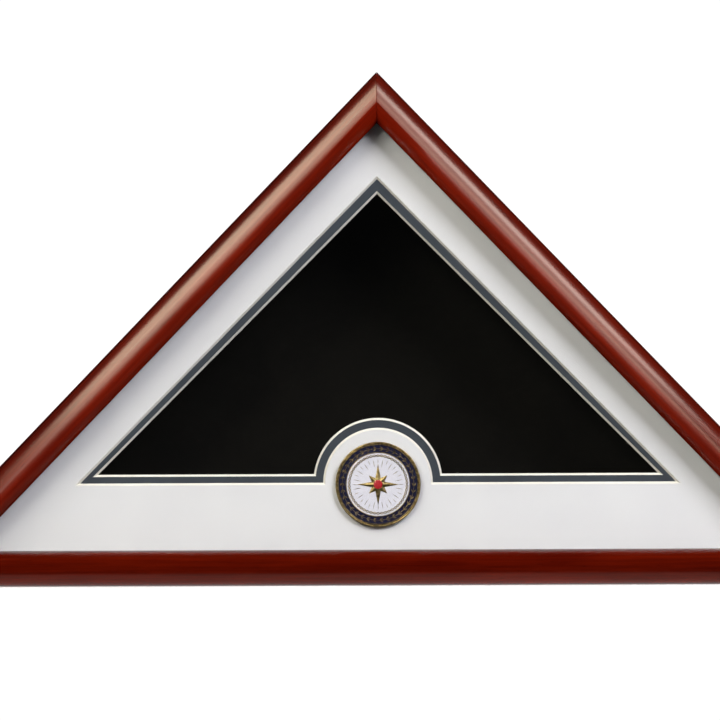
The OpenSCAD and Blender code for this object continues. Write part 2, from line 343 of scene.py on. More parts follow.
def wood_material():
    lacquer = {"IOR": 1.5, "Specular Tint": "#ffeedc", "Anisotropic": 0.88}
    wood, tree, shader = start_material("mahogany_lacquer", lacquer)
    grain, painted_shade, bare = (add(tree, "Attribute", attribute_name=label).outputs[kind] for label, kind in
                           (("grain", "Vector"), ("painted_shade", "Fac"), ("bare", "Fac")))
    sizes_mm = {"streak": (60, 1.5, 1.5), "cloud": (150, 22, 22), "pore": (7, 0.5, 0.5)}
    noise = {}
    for name, lengths in sizes_mm.items():
        place = add(tree, "Mapping", {"Vector": grain, "Scale": [1 / (length * MM) for length in lengths]})
        noise[name] = add(tree, "TexNoise", {"Vector": place, "Scale": 1.0, "Detail": 3.0, "Roughness": 0.55})
    streaks, clouds, pores = (
        add(tree, "MapRange", {"Value": noise[name], "From Min": start, "From Max": end})
        for name, start, end in (("streak", 0.3, 0.7), ("cloud", 0.3, 0.7), ("pore", 0.62, 0.72)))
    clean = add(tree, "MapRange", {"Value": pores, "To Min": 1.0, "To Max": 0.62})
    # Pores and each rail's painted shade darken the stain together.
    shade = add(tree, "MapRange", {"Value": painted_shade, "To Min": clean, "To Max": 0.0})
    stain = add(tree, "Mix", {"Factor": streaks, "A": "#7f1804", "B": "#9e2306"}, data_type="RGBA")
    slow = add(tree, "Mix", {"Factor": clouds, "A": "#c8b4b0", "B": "#ffffff"}, data_type="RGBA")
    for layer in (slow, shade):
        inputs = {"Factor": 1.0, "A": stain, "B": layer}
        stain = add(tree, "Mix", inputs, data_type="RGBA", blend_type="MULTIPLY")
    height = add(tree, "MapRange", {"Value": pores, "To Min": 1.0, "To Max": 0.0})
    feed(shader, {
        "Base Color": stain,
        "Roughness": add(tree, "MapRange", {"Value": noise["streak"], "To Min": 0.17, "To Max": 0.22}),
        "Specular IOR Level": add(tree, "MapRange", {"Value": bare, "To Min": 0.3, "To Max": 0.0}),
        "Normal": add(tree, "Bump", {"Height": height, "Strength": 0.25, "Distance": 0.05 * MM}),
        "Tangent": add(tree, "Tangent", direction_type="UV_MAP", uv_map="over_the_face")})
    return wood


mahogany = wood_material()
print("made", mahogany.name)

# %% [markdown]
# ## Mouldings and rails
# Each rail is one profile: a half circle for the face, a lip behind it that holds the glass, and a thinner
# wall. It is carried from mitre to mitre. At both ends the profile shrinks a little just before the joint,
# which leaves the fine groove that two lacquered pieces show. Every strip in the case ends in this way.

# %% Mouldings


def mitred(side, section, groove=0.0, rows=9):
    """Carries a section (w, d) from mitre to mitre: u goes from w * mitre + e to length - w * mitre - e.
    e is 0 at the two ends, where the section is shrunk by the groove, and 1.4 grooves between them."""
    share = np.concatenate([[0], np.linspace(0, 1, rows), [1]])
    ease = np.concatenate([[0], np.full(rows, 1.4 * groove), [0]])
    shrink = np.concatenate([[groove], np.zeros(rows), [groove]])
    sections = np.array([section(by) for by in shrink])
    w, d = sections[..., 0], sections[..., 1]
    first = w * side.mitres[0] + ease[:, None]
    last = side.length - w * side.mitres[1] - ease[:, None]
    u = first + share[:, None] * (last - first)
    return np.stack([u, w, d], -1)


def rail_section(shrink):
    """Half circle of radius r about (r, r), then the wall's rear and inside and the lip's rear, all moved
    in by the shrinkage."""
    r, soft, end = face_w / 2, 0.6 * MM, back - 0.05 * MM
    outside, inside, tip, ledge = shrink, wall - shrink, face_w - shrink, lip - shrink
    turn = np.linspace(0, math.pi, 57)
    nose = np.stack([r + (r - shrink) * np.cos(turn), r - (r - shrink) * np.sin(turn)], -1)
    rest = [(outside, end - soft), (outside + soft, end), (inside - soft, end), (inside, end - soft),
            (inside, ledge), (tip - soft, ledge), (tip, ledge - soft)]
    return np.concatenate([nose, rest])


# %% [markdown]
# ## Rails
# Painted shade darkens the stain towards the outer edge of the slanted rails and over the whole bottom rail,
# standing in for shade there; each rail lists its painted shade at shares of the way across its face, and the
# walls behind the face take a fixed share. The inner lip of the slanted rails is bare: it would mirror the
# white mat otherwise. A map over the face tells the sheen the way round the profile.

# %% Rails
FACE_SHARES = (0, 0.15, 0.35, 0.5, 0.65, 1)
# Painted shade at each share of the face: 0 leaves the stain as it is, 1 makes it black.
PAINTED_SHADE = {"bottom": (0.55, 0.60, 0.70, 0.72, 0.70, 0.62),
          "left": (0.80, 0.69, 0.56, 0.38, 0.16, 0.10),
          "right": (0.71, 0.60, 0.52, 0.48, 0.10, 0.0)}
WALL_DARKER, WALL_FROM = 0.45, 0.6 * face_w
BARE_LIP = (0.88, 0.96)
GRAIN_SHIFT = np.array([1.7, 0.31, 0.0])
for number, (name, side) in enumerate(SIDES.items()):
    local = mitred(side, rail_section, groove=0.22 * MM)
    rail = make_piece(f"{name}_rail", rod(side.place(local)), mahogany, f"rail_{name}",
                      sharp=40)
    face_share = local[..., 1] / face_w
    on_face = np.interp(face_share, FACE_SHARES, PAINTED_SHADE[name])
    # The face takes the painted shade from the table; the walls behind it take a fixed share.
    painted_shade = np.where(local[..., 2] > WALL_FROM, WALL_DARKER, on_face)
    bare = np.interp(face_share, BARE_LIP, (0, float(name != "bottom")))
    shifted = local + number * GRAIN_SHIFT
    for label, kind, field, values in (("grain", "FLOAT_VECTOR", "vector", shifted),
            ("painted_shade", "FLOAT", "value", painted_shade), ("bare", "FLOAT", "value", bare)):
        rail.data.attributes.new(label, kind, "POINT").data.foreach_set(field, values.ravel())
    profile = local[1, :, 1:]
    way_round = np.linalg.norm(np.diff(profile, axis=0, prepend=profile[:1]), axis=1).cumsum()
    corner_points = np.empty(len(rail.data.loops), np.int32)
    rail.data.loops.foreach_get("vertex_index", corner_points)
    uv = np.stack([np.tile(way_round, len(local)), local[..., 0].ravel()], -1)[corner_points]
    rail.data.uv_layers.new(name="over_the_face").data.foreach_set("uv", uv.ravel())

# %% [markdown]
# ## Glass
# Picture-frame glass shows what is behind it and mirrors a little of the room, more at a slant. A see-through
# shader mixed with a mirror by Fresnel's law does both, and lets the lamps light the boards. From inside, the
# index is 1 / 1.5, so light leaves the sheet as it came in: rays in the sheet aren't bent, and would be
# mirrored back wholly otherwise. The sheet is a stack of three-cornered loops with small bevels.

# %% Glass


def glass_material():
    glass, tree, both = start_material("window_glass", {}, shader="MixShader")
    from_inside = add(tree, "NewGeometry").outputs["Backfacing"]
    index = add(tree, "MapRange", {"Value": from_inside, "To Min": 1.5, "To Max": 1 / 1.5})
    feed(both, {0: add(tree, "Fresnel", {"IOR": index}),
                1: add(tree, "BsdfTransparent", {"Color": "#fefefe"}),
                2: add(tree, "BsdfGlossy", {"Color": "#ffffff", "Roughness": 0.01})})
    return glass


def sheet_loops(node, bevel):
    """Loops of a three-cornered sheet: its front, both ends of its edge and its rear. The faces are moved in
    by the bevel."""
    edge = across(node, Z)[0]
    near, far = depths(node)
    flat = np.array([inset(w) for w in (edge + bevel, edge, edge, edge + bevel)])
    depth = np.array([near, near + bevel, far - bevel, far])
    return upright(flat, front + depth[:, None])


make_piece("pane", rod(sheet_loops("glass", 0.3 * MM)), glass_material(), "glass")

# %% [markdown]
# ## Mat boards
# A mat board is paper-faced pulp board about 1.4 mm thick. Its window is cut at 45 degrees, which bares a
# cream core all round it, and a round tongue is left standing under the medallion. The papers' fine tooth is
# about 0.3 mm on real board and is drawn at 0.7 mm so that it shows.

# %% Board materials


def paper_material(name, light, dark, tooth_mm, rough):
    """Matt paper: two close tones in a slow cloud, and a tooth of small bumps."""
    return mottled(name, {"Roughness": rough, "Specular IOR Level": 0.3}, (dark, light), patch=(35, 2.0, 0.0),
                   fine=(tooth_mm, 3.0, 0.0), span=(0.5, 1.0), speckle=0.5, relief=(0.3, 0.08))


white_paper = paper_material("white_mat_board", "#ececed", "#e7e7e9", 0.7, 0.85)
navy_paper = paper_material("navy_mat_board", "#3f464e", "#363c44", 0.7, 0.8)
cream_core = paper_material("mat_board_core", "#f6f2e8", "#eeeadf", 0.4, 0.9)
print("made boards")

# %% [markdown]
# ## Mat boards: reading the windows
# The frame's solids already have the windows, so their corners are read from the solids' own points: the
# points on the rear face that lie well inside the outer edge. The lowest is the base line, the widest the
# lower corner, the highest the peak, and the highest one in the lower half is the top of the tongue.

# %% Windows


def window_of(node):
    """Half width, base, peak and top of the tongue of a board's window, on its rear face, in metres."""
    mesh = frame["nodes"][node].data
    points = np.empty(len(mesh.vertices) * 3)
    mesh.vertices.foreach_get("co", points)
    points = points.reshape(-1, 3)
    on_rear = points[:, Y] > across(node, Y)[1] - 0.01 * MM
    away = np.array([(points[:, [X, Z]] - side.start) @ side.inward for side in SIDES.values()]).min(0)
    edge = points[on_rear & (away > wall + 5 * MM)]
    half, base, top = edge[:, X].max(), edge[:, Z].min(), edge[:, Z].max()
    tongue = edge[edge[:, Z] < (base + top) / 2, Z].max()
    return float(half), float(base), float(top), float(tongue)


windows = {node: window_of(node) for node in ("white_mat", "navy_mat")}
tongue_z = windows["white_mat"][1]
for node, numbers in windows.items():
    print(node, "window, mm:", [round(number / MM, 2) for number in numbers])

# %% [markdown]
# ## Mat boards: the surface
# Each board is four loops with the same number of points: the outer edge and the window, at the front and
# at the rear. The front window is moved outwards by the board's thickness. Points of the tongue's arc stand
# over points with the same x on the lower edge, so the faces between the loops are clean upright strips.

# %% Mats


def window_loop(node, grow):
    """Window line moved out by grow: right corner, base to the tongue, its arc, left corner, peak."""
    half, base, top, tongue = windows[node]
    (right, low), (left, _), (_, high) = inset(-grow, half, base, top)
    r = tongue - tongue_z - grow
    first = math.asin((low - tongue_z) / r)
    turn = np.linspace(first, math.pi - first, 73)
    arc = np.stack([r * np.cos(turn), tongue_z + r * np.sin(turn)], -1)
    return np.concatenate([[(right, low)], arc, [(left, low), (0.0, high)]])


def board(name, node, paper):
    """Front edge, front window, rear window and rear edge, closed in both directions."""
    near, far = depths(node)
    edge = across(node, Z)[0]
    loops = []
    for depth, grow in ((near, far - near), (far, 0.0)):
        hole = window_loop(node, grow)
        outer = hole.copy()
        outer[1:-2, 1] = edge
        outer[[0, -2, -1]] = inset(edge)
        loops += [upright(outer, front + depth), upright(hole, front + depth)]
    points = np.array(loops)[[0, 1, 3, 2]]
    piece = make_piece(name, hoop(points), paper, node)
    piece.data.materials.append(cream_core)
    count = points.shape[1]
    slots = np.zeros(len(piece.data.polygons), np.int32)
    slots[count:2 * count] = 1
    piece.data.polygons.foreach_set("material_index", slots)


board("white_board", "white_mat", white_paper)
board("navy_board", "navy_mat", navy_paper)

# %% [markdown]
# ## Foam board strips
# Black foam board is a foam core between two black papers. Narrow strips of it keep the glass off the mats,
# and wide ones line the rails. Each is a chamfered rectangle carried between its rail's mitres.

# %% Strips
black_board = paper_material("black_foam_board", "#1a1a1b", "#131314", 1.2, 0.85)


def rectangle(w0, w1, d0, d1, cut=0.25 * MM):
    """Section (w, d) of a rectangle with its four corners cut off."""
    return np.array([(w0 + cut, d0), (w1 - cut, d0), (w1, d0 + cut), (w1, d1 - cut),
                     (w1 - cut, d1), (w0 + cut, d1), (w0, d1 - cut), (w0, d0 + cut)])


for name, side in SIDES.items():
    for kind in ("spacer", "liner"):
        node, inner = f"{kind}_{name}", across(f"{kind}_bottom", Z)[1]
        local = mitred(side, lambda shrink: rectangle(wall, inner, *depths(node)), rows=2)
        make_piece(f"{name}_{kind}", rod(side.place(local)), black_board, node)

# %% [markdown]
# ## Cast and enamelled metal
# The medallion is a die-struck brass disc with an antique finish: dark patina and rubbed bright places, in
# patches about 2 mm across. Its recesses hold hard enamel, which is glass-smooth with a faint waviness.

# %% Metal and enamel materials


def metal_material(name, bright, dark, patch_mm, rough, relief_mm):
    """Metal whose tone and gloss drift between two values in patches, with fine relief."""
    return mottled(name, {"Metallic": 1.0}, (dark, bright), patch=(patch_mm, 4.0, 0.0),
                   fine=(relief_mm, 2.0, 0.0), span=(0.35, 0.65), rough=(rough + 0.12, rough - 0.06),
                   relief=(0.25, 0.03))


def enamel_material(name, light, dark):
    """Hard enamel: two close tones, a clear coat, and waves about 3 mm long."""
    wave = (3, 2.0, 0.0)
    return mottled(name, {"IOR": 1.55, "Coat Weight": 0.6, "Coat Roughness": 0.06}, (dark, light), patch=wave,
                   fine=wave, rough=(0.18, 0.28), relief=(0.2, 0.05))


antique_brass = metal_material("antique_brass", "#ab9766", "#625232", 2.0, 0.34, 0.4)
navy_enamel = enamel_material("navy_enamel", "#11143a", "#0a0d2a")
white_enamel = enamel_material("white_enamel", "#efeef6", "#e2e1ec")
red_enamel = enamel_material("red_enamel", "#bf2a31", "#a31f27")
foam_tape = paper_material("adhesive_foam", "#f1f0ec", "#e0ded6", 0.5, 0.9)
print("made metal and enamel")

# %% [markdown]
# ## The medallion's casting
# The casting is one profile (radius, depth behind the medallion's front) turned round the axis: an outer
# bead, a narrow step, an inner bead, the trough for the navy ring, a fence, and the white field's floor.

# %% Medallion casting
low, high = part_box("medallion_body")
medallion_r = (high[X] - low[X]) / 2
medallion_z = (high[Z] + low[Z]) / 2
medallion_y = low[Y]
thick = high[Y] - low[Y]
enamel_out = across("medallion_navy_enamel", X)[1]
field_r = across("medallion_white_enamel", X)[1]
pool, floor_d = (y - medallion_y for y in across("medallion_white_enamel", Y))
fence_out = field_r + 0.5 * MM


def round_axis(r, y, angle):
    """World points at radius r and angle a round the medallion's axis: x = r cos a, z = r sin a."""
    return np.stack(np.broadcast_arrays(r * np.cos(angle), y, medallion_z + r * np.sin(angle)), -1)


def turned(profile, count=160):
    """Rings of a profile (radius, depth) turned round the medallion's axis."""
    r, d = np.array(profile, float).T[..., None]
    return round_axis(r, medallion_y + d, full_turn(count))


def disc(profile, first, last, count=160):
    """A turned profile closed by points of the axis at the first and last depth."""
    poles = [(0.0, medallion_y + depth, medallion_z) for depth in (first, last)]
    return domed(turned(profile, count), *poles)


def bead(r0, r1, top, foot, steps=9):
    """Half-round ridge from radius r0 to r1: an ellipse that rises from foot to top."""
    turn = np.linspace(0, math.pi, steps)
    middle, half = (r0 + r1) / 2, (r0 - r1) / 2
    return np.stack([middle + half * np.cos(turn), foot - (foot - top) * np.sin(turn)], -1)


chamfer, shoulder = 0.4 * MM, 0.8 * MM
casting = np.concatenate([
    [(medallion_r - chamfer, thick), (medallion_r, thick - chamfer), (medallion_r, shoulder)],
    bead(medallion_r, enamel_out + 0.75 * MM, 0.0, 0.5 * MM),
    bead(enamel_out + 0.6 * MM, enamel_out, 0.05 * MM, 0.35 * MM, 7),
    [(enamel_out, floor_d), (fence_out, floor_d)],
    bead(fence_out, field_r, 0.05 * MM, 0.25 * MM, 5),
    [(field_r, floor_d)]])
make_piece("medallion_casting", disc(casting, thick, floor_d), antique_brass, "medallion_body")

# %% [markdown]
# ## Enamel and pad
# Enamel is filled level and shrinks as it cools, so each pool is a little lower between its fences. The navy
# pool is a ring, the white one a disc. Behind the casting a foam pad holds the medallion to the mat.

# %% Enamel
SHRINKAGE, PAD_SOFT = 0.06 * MM, 0.1 * MM
spread = np.linspace(0, 1, 9)
ring_r = enamel_out + (fence_out - enamel_out) * spread
navy_surface = np.stack([ring_r, pool + SHRINKAGE * np.sin(math.pi * spread)], -1)
navy_section = np.concatenate([navy_surface, [(fence_out, floor_d), (enamel_out, floor_d)]])
make_piece("navy_pool", hoop(turned(navy_section)), navy_enamel, "medallion_navy_enamel")

inwards = spread[:-1]
white_surface = np.stack([field_r * (1 - inwards), pool + SHRINKAGE * np.sin(math.pi * inwards / 2)], -1)
white_section = np.concatenate([[(field_r, floor_d)], white_surface])
make_piece("white_pool", disc(white_section, floor_d, pool + SHRINKAGE), white_enamel,
           "medallion_white_enamel")

pad_r = across("medallion_adhesive_pad", X)[1]
pad_d = np.array(across("medallion_adhesive_pad", Y)) - medallion_y
pad_profile = [(pad_r - PAD_SOFT, pad_d[0]), (pad_r, pad_d.mean()), (pad_r - PAD_SOFT, pad_d[1])]
make_piece("foam_pad", disc(pad_profile, *pad_d, 72), foam_tape, "medallion_adhesive_pad")

# %% [markdown]
# ## Laurel, cord and rays
# The navy ring carries a laurel wreath, and the white field a twisted cord round its rim with fine rays
# inside. Leaves and rays are the same pointed ridge of seven small sections, copied round the axis.

# %% Laurel


def ridged(length, width, height, steps=7):
    """A pointed ridge on the enamel: half width and height follow the sine of the way along. Returns along,
    sideways and y. The fourth corner of each section is sunk into the enamel."""
    s = np.linspace(0, 1, steps)[:, None]
    swell = np.sin(math.pi * (0.04 + 0.92 * s))
    along = (s - 0.5) * length + np.zeros(4)
    side = swell * width / 2 * np.array([-1, 0, 1, 0])
    y = navy_y - swell * height * np.array([0.1, 1, 0.1, 0])
    y[:, 3] = navy_y + 0.1 * MM
    return along, side, y


def copied_round(out, sideways, y, count, first=0.0):
    """Closed sections (out from the axis, sideways, y) copied at equal angles round the medallion's axis."""
    a = full_turn(count, first)[:, None, None]
    x = out * np.cos(a) - sideways * np.sin(a)
    z = out * np.sin(a) + sideways * np.cos(a)
    shapes = np.stack(np.broadcast_arrays(x, y, medallion_z + z), -1)
    return together(*[rod(shape) for shape in shapes])


PAIRS, LEAF_TILT = 34, math.radians(28)
STEM_HALF, STEM_RISE, SUNK = 0.16 * MM, 0.12 * MM, 0.1 * MM
navy_y = medallion_y + pool
middle_r = (enamel_out + fence_out) / 2
leaf_along, leaf_side, leaf_y = ridged(2.4 * MM, 0.8 * MM, 0.28 * MM)
leaves = []
for lean in (-1, 1):
    tilt = LEAF_TILT * lean
    out = middle_r + lean * 0.85 * MM + leaf_along * math.sin(tilt) + leaf_side * math.cos(tilt)
    sideways = leaf_along * math.cos(tilt) - leaf_side * math.sin(tilt)
    leaves.append(copied_round(out, sideways, leaf_y, PAIRS))
stem_out, stem_in = middle_r + STEM_HALF, middle_r - STEM_HALF
stem = np.concatenate([bead(stem_out, stem_in, pool - STEM_RISE, pool, 5),
                       [(stem_in, pool + SUNK), (stem_out, pool + SUNK)]])
wreath = together(*leaves, hoop(turned(stem)))
make_piece("laurel_wreath", wreath, antique_brass, sharp=50)

# %% [markdown]
# ## Cord
# The cord is two wires that wind about each other: each wire's radius follows a sine as it goes round, and
# its height a cosine, so it passes over and under the other.

# %% Cord and rays
TWISTS, WIRE = 25, 0.26 * MM
CORD_IN, CORD_SINK, SWING, LIFT = 1.7 * MM, 0.12 * MM, 0.6 * MM, 0.1 * MM
way, section = full_turn(720)[:, None], full_turn(6)
wires = []
for start in (0, math.pi):
    wire_r = field_r - CORD_IN + SWING * np.sin(TWISTS * way + start) + WIRE * np.cos(section)
    wire_y = navy_y - CORD_SINK + LIFT * np.cos(TWISTS * way + start) + WIRE * np.sin(section)
    wires.append(hoop(round_axis(wire_r, wire_y, way)))
make_piece("cord_border", together(*wires), antique_brass, sharp=80)

rays = []
for length, width, middle, first in ((5.2, 0.34, 14.3, 11.25), (3.2, 0.30, 15.6, 0.0)):
    ray_along, ray_side, ray_y = ridged(length * MM, width * MM, 0.2 * MM)
    rays.append(copied_round(middle * MM + ray_along, ray_side, ray_y, 16, math.radians(first)))
make_piece("rays", together(*rays), antique_brass, sharp=50)

# %% [markdown]
# ## The star
# A cut star has a sharp ridge down every point and a valley between points, so each half of a point catches
# the light on its own. Its outline is four long and four short points with hollows close to the centre, and
# a small flat carries a drop of red enamel.

# %% Star
POINTS = 16
star_r = across("medallion_star", X)[1]
star_y, star_foot = across("medallion_star", Y)
red_r = across("medallion_red_enamel", X)[1]
red_rise = star_y - across("medallion_red_enamel", Y)[0]
angle = np.radians(90 - 22.5 * np.arange(POINTS))
reach = star_r * np.tile([1, 1 / 3, 0.62, 1 / 3], 4)
ridge = star_foot - (star_foot - star_y) * np.tile([0.22, 0.16, 0.3, 0.16], 4)
buried = star_foot + 0.1 * MM
star_rings = np.array([round_axis(reach, buried, angle), round_axis(reach, ridge, angle),
                       round_axis(np.full(POINTS, red_r * 1.08), star_y, angle)])
make_piece("star", domed(star_rings, (0, buried, medallion_z), (0, star_y, medallion_z)), antique_brass,
           "medallion_star", sharp=1)

drop = np.linspace(0, math.pi / 2, 8)[:-1]
flat_d = star_y - medallion_y
red_profile = np.stack([red_r * np.cos(drop) ** 0.6, flat_d - red_rise * np.sin(drop)], -1)
make_piece("red_drop", disc(red_profile, flat_d + 0.05 * MM, flat_d - red_rise, 48), red_enamel,
           "medallion_red_enamel", sharp=60)

# %% [markdown]
# ## Velour and back panel
# The back panel is hardboard: brown, pressed from wood fibre, smooth on its rear face. A black velour is
# stretched over its inner face and glued down: a cut pile with a faint sheen at a slant, which lies unevenly
# in patches of a few centimetres. Pile is 0.1 mm thick on real cloth and is drawn at 0.6 mm.

# %% Panel materials


def hardboard_material():
    hardboard, tree, shader = start_material("hardboard", {"Specular IOR Level": 0.35})
    place = add(tree, "TexCoord").outputs["Object"]
    strand = (1 / (4 * MM), 1 / (4 * MM), 1 / (0.8 * MM))
    leaning = {"Vector": place, "Rotation": (0, math.radians(25), 0), "Scale": strand}
    turned_place = add(tree, "Mapping", leaning)
    fibre = add(tree, "TexNoise", {"Vector": turned_place, "Scale": 1.0, "Detail": 5.0, "Distortion": 1.5})
    cloud = add(tree, "TexNoise", {"Vector": place, "Scale": 1 / (60 * MM), "Detail": 3.0})
    fleck = add(tree, "TexVoronoi", {"Vector": place, "Scale": 1 / (5 * MM)}, feature="F1")
    speck = add(tree, "MapRange", {"Value": fleck, "From Min": 0.08, "From Max": 0.2})
    strands = add(tree, "MapRange", {"Value": fibre, "From Min": 0.35, "From Max": 0.7})
    tone = add(tree, "Mix", {"Factor": strands, "A": "#5c4028", "B": "#80603f"}, data_type="RGBA")
    wide = add(tree, "Mix", {"Factor": cloud, "A": "#cfc4ba", "B": "#ffffff"}, data_type="RGBA")
    both = add(tree, "Mix", {"Factor": 1.0, "A": tone, "B": wide}, data_type="RGBA", blend_type="MULTIPLY")
    feed(shader, {
        "Base Color": add(tree, "Mix", {"Factor": speck, "A": "#3f2a19", "B": both}, data_type="RGBA"),
        "Roughness": add(tree, "MapRange", {"Value": fibre, "To Min": 0.5, "To Max": 0.65}),
        "Normal": add(tree, "Bump", {"Height": fibre, "Strength": 0.35, "Distance": 0.08 * MM})})
    return hardboard


pile = {"Roughness": 0.95, "Specular IOR Level": 0.1, "Sheen Weight": 0.12, "Sheen Roughness": 0.5,
        "Sheen Tint": "#8c8680"}
black_velour = mottled("black_velour", pile, ("#060605", "#11100c"), patch=(30, 4.0, 0.6),
                       fine=(0.6, 2.0, 0.0), relief=(0.5, 0.2))

# %% [markdown]
# ## Fitting the panel
# Both are three-cornered sheets like the glass.

# %% Back panel and velour
make_piece("hardboard_back", rod(sheet_loops("back_panel", 0.3 * MM)), hardboard_material(),
           "back_panel", body="back")

velour = make_piece("velour", rod(sheet_loops("velour_lining", 0.25 * MM)), black_velour,
                    "velour_lining", body="back")

# %% [markdown]
# ## Pressed and plated steel
# Turn buttons and their screws are brass-plated steel, tumbled, so they are bright and slightly mottled.
# Hangers and corner nails are zinc plated: a cooler grey, a little duller.

# %% Hardware materials
brass_plate = metal_material("brass_plated_steel", "#dcbd78", "#c2a05a", 4.0, 0.26, 0.5)
zinc_plate = metal_material("zinc_steel", "#cdd1d4", "#aeb3b7", 3.0, 0.34, 0.5)
print("made hardware finishes")

# %% [markdown]
# ## Turn buttons
# A turn button is a flat tab on a screw: a large round end, a small round tip, and flanks that touch both.
# Seen from the pivot its outline is a radius for every angle: the small circle ahead, the flank beside it,
# the large circle behind. Rings between hole and outline give the rolled edge and domed top.

# %% Turn buttons
HOLE, BIG, SMALL, GAP = 1.6 * MM, 4.5 * MM, 3.0 * MM, 9.5 * MM
TAB_RINGS = [(0.0, -0.22), (0.04, -0.1), (0.12, 0.0), (0.5, 0.0), (0.8, -0.05), (0.93, -0.14), (0.985, -0.3),
             (1.0, -0.5), (1.0, -0.8), (0.985, -0.95), (0.95, -1.0), (0.03, -1.0), (0.0, -0.92)]


def tab_radius(angle):
    """Radius of the outline: BIG / cos(angle - b) on the flanks, where cos b = (BIG - SMALL) / GAP."""
    turn = np.abs((angle + math.pi) % (2 * math.pi) - math.pi)
    touch = math.acos((BIG - SMALL) / GAP)
    tip = math.atan2(SMALL * math.sin(touch), GAP + SMALL * math.cos(touch))
    near = GAP * np.cos(turn) + np.sqrt(np.maximum(SMALL ** 2 - (GAP * np.sin(turn)) ** 2, 0))
    return np.where(turn > touch, BIG, np.where(turn > tip, BIG / np.cos(turn - touch), near))


def about(pivot, towards, r, angle):
    """Flat points at distances r from a pivot and at angles from the direction towards."""
    beside = np.array([towards[1], -towards[0]])
    return plan(pivot, towards, beside, r * np.cos(angle), r * np.sin(angle))


def tab_shell(pivot, towards, y0, y1):
    """Rings from the hole to the outline on top, round the edge, and back to the hole underneath. A ring is
    (share of the way to the outline, height as a share of the thickness)."""
    angle = full_turn(96, -math.pi)
    angle = angle - 0.35 * np.sin(2 * angle)
    share, height = np.array(TAB_RINGS).T[..., None]
    out = HOLE + share * (tab_radius(angle) - HOLE)
    return hoop(upright(about(pivot, towards, out, angle), y1 + height * (y1 - y0)))


joints = {joint["child"]: joint for joint in frame["joints"]}
pivots = []
for number, side_name in enumerate(["bottom"] * 3 + ["left"] * 2 + ["right"] * 2, 1):
    node = f"turn_button_{number}"
    pivot = np.array(joints[node]["pos_m"])[[X, Z]]
    low, high = np.array(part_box(node))
    towards = SIDES[side_name].along
    towards = towards * np.sign(towards @ ((low + high)[[X, Z]] / 2 - pivot))
    pivots.append((pivot, towards))
    make_piece(f"button_{number}", tab_shell(pivot, towards, low[Y], high[Y]), brass_plate, node,
               body=node, sharp=45)

# %% [markdown]
# ## Screws
# A pan-head screw is a low dome with a cross-shaped recess. Its top is a height for every radius and angle:
# the dome, less the recess inside either arm of the cross. The arms narrow towards their floor.

# %% Screws
HEAD_R, SHANK_R, TAPER, TIP_R = 3.0 * MM, 1.5 * MM, 2 * MM, 0.4 * MM
RECESS_HALF, RECESS_REACH, RECESS_DEPTH = 0.5 * MM, 1.75 * MM, 0.62
TURNS = np.radians([12, 40, -25, 70, 5, 33, -50])


def screw_shell(pivot, towards, seat_y, head_t, tail_y):
    """Rings from the middle of the head over its dome, under its rim and down the shank."""
    angle = full_turn(64)
    out = np.linspace(0.02, 1.0, 30)[:, None] * HEAD_R
    x, z = np.abs(out * np.cos(angle)), np.abs(out * np.sin(angle))
    inside = np.clip((1 - np.minimum(x, z) / RECESS_HALF) / 0.35, 0, 1)
    inside = inside * np.clip((1 - np.maximum(x, z) / RECESS_REACH) / 0.25, 0, 1)
    dome = head_t * (1 - 0.45 * (out / HEAD_R) ** 2 - 0.35 * (out / HEAD_R) ** 12)
    top = np.stack([out + 0 * angle, seat_y + (dome - RECESS_DEPTH * head_t * inside)], -1)
    under = np.array([(HEAD_R, seat_y), (SHANK_R, seat_y), (SHANK_R, tail_y + TAPER), (TIP_R, tail_y)])
    rings = np.concatenate([top, np.broadcast_to(under[:, None], (len(under), *top.shape[1:]))])
    points = upright(about(pivot, towards, rings[..., 0], angle), rings[..., 1])
    recess_y = seat_y + (1 - RECESS_DEPTH) * head_t
    return domed(points, (pivot[0], recess_y, pivot[1]), (pivot[0], tail_y, pivot[1]))


def screws(name, node, places, seat_y, material):
    """All the screws of one node, each turned by its own angle."""
    tail, top = across(node, Y)
    shells = []
    for (pivot, towards), turn in zip(places, TURNS):
        turned_to = np.array([[math.cos(turn), -math.sin(turn)], [math.sin(turn), math.cos(turn)]]) @ towards
        shells.append(screw_shell(pivot, turned_to, seat_y, top - seat_y, tail))
    make_piece(name, together(*shells), material, node, sharp=38)


button_top = across("turn_button_1", Y)[1]
screws("button_screws", "turn_button_screws", pivots, button_top + 0.1 * MM, brass_plate)

# %% [markdown]
# ## Strap hangers
# A strap hanger is one thin steel strip folded round a D ring, with both ends under one screw. The strip's
# middle line runs up the rail, round the ring's bar and back on top of itself; its width is constant, then
# follows a half circle at the closed end.

# %% Straps
STRIP_T, STRAP_HALF, STRAP_END, STRAP_SOFT = 0.6 * MM, 4.5 * MM, 25 * MM, 0.12 * MM
LOOP_R, LOOP_FOOT, FOLD_AT = 1.25 * MM, -3 * MM, -4.2 * MM
STRAP_CORNERS = np.array([(-1, -1, 1, 0), (-1, -1, 0, 1), (-1, 1, 0, -1), (-1, 1, 1, 0),
                          (1, 1, -1, 0), (1, 1, 0, -1), (1, -1, 0, 1), (1, -1, -1, 0)])


def beside_path(way):
    """Unit vectors at right angles to the ways along a path."""
    way = way / np.linalg.norm(way, axis=1)[:, None]
    return np.stack([way[:, 1], -way[:, 0]], -1)


